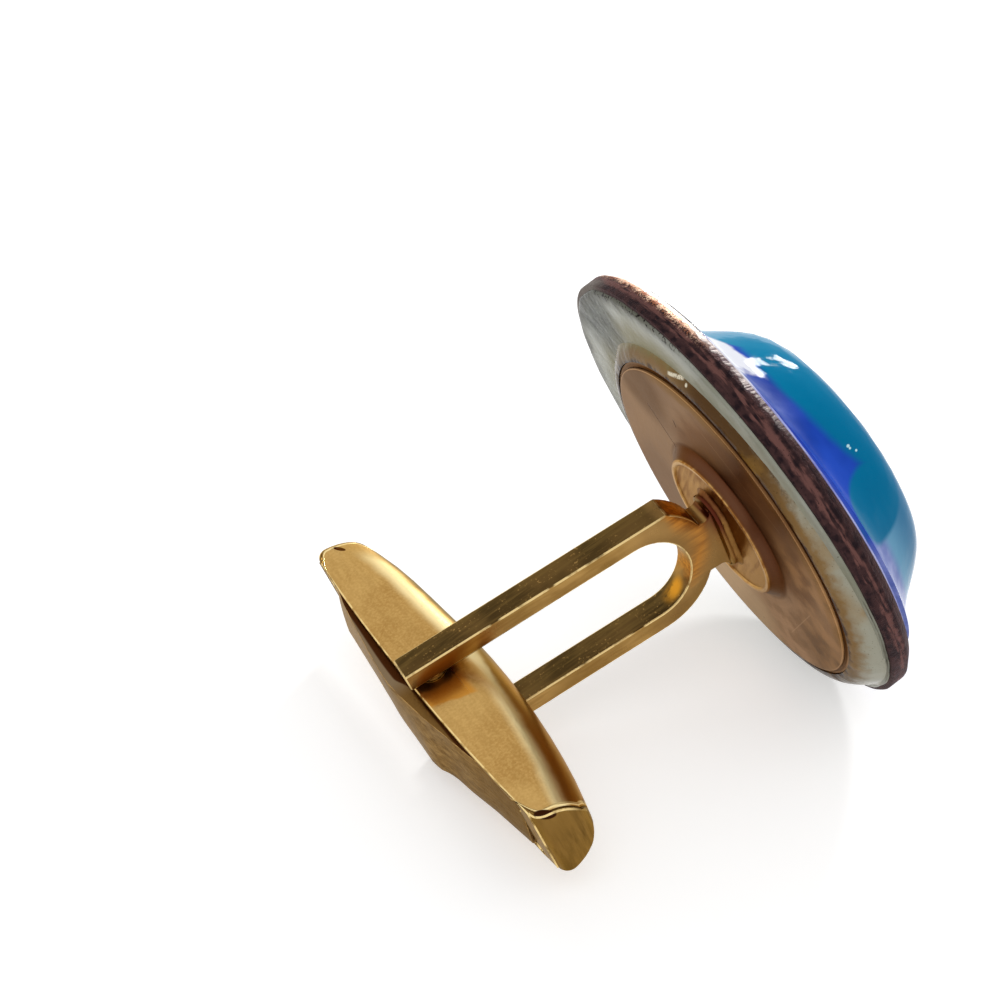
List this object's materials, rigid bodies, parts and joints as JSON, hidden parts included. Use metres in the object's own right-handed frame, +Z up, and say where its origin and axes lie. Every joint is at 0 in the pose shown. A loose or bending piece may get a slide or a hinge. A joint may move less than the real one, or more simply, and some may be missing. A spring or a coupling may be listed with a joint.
{
  "type": "cufflink",
  "caption": "Round enamelled disc with a fused glass mound, a forked post on its back and a swivelling bar toggle.",
  "frame": {"origin": "middle of the gilt pad's cuff face, on the axis of the post", "axes": "+Z up as the cufflink lies on a table on its disc's rim and the end of a fork leg; +X from the disc towards the toggle; +Y along the toggle"},
  "size_m": [0.0222, 0.0208, 0.0188],
  "materials": {
    "gilt": "satin gilt, worn",
    "pad_gilt": "satin rose gilt",
    "strip_gilt": "brushed, dull gilt",
    "pin_metal": "satin",
    "solder": "satin",
    "copper": "oxidised copper, filed edge",
    "counter_enamel": "glossy cream enamel",
    "coat_enamel": "glossy pale violet enamel",
    "cobalt_glass": "glossy fused glass",
    "turquoise_glass": "glossy fused glass",
    "glue": "clear amber adhesive"
  },
  "bodies": {
    "head": {"copper_disc": "copper", "counter_enamel": "counter_enamel", "front_coat": "coat_enamel", "cobalt_glass": "cobalt_glass", "turquoise_glass": "turquoise_glass", "glue_bead": "glue", "back_pad": "pad_gilt", "solder_run": "solder", "fork": "gilt", "pivot_pin": "pin_metal"},
    "toggle": {"toggle_shell": "gilt", "spring_strip": "strip_gilt"}
  },
  "joints": [
    {"name": "toggle_swivel", "type": "hinge", "parent": "head", "child": "toggle", "pos_m": [0.01237, -0.00097, -0.00557], "axis": [-0.4103, 0, -0.9119], "continuous": true}
  ]
}
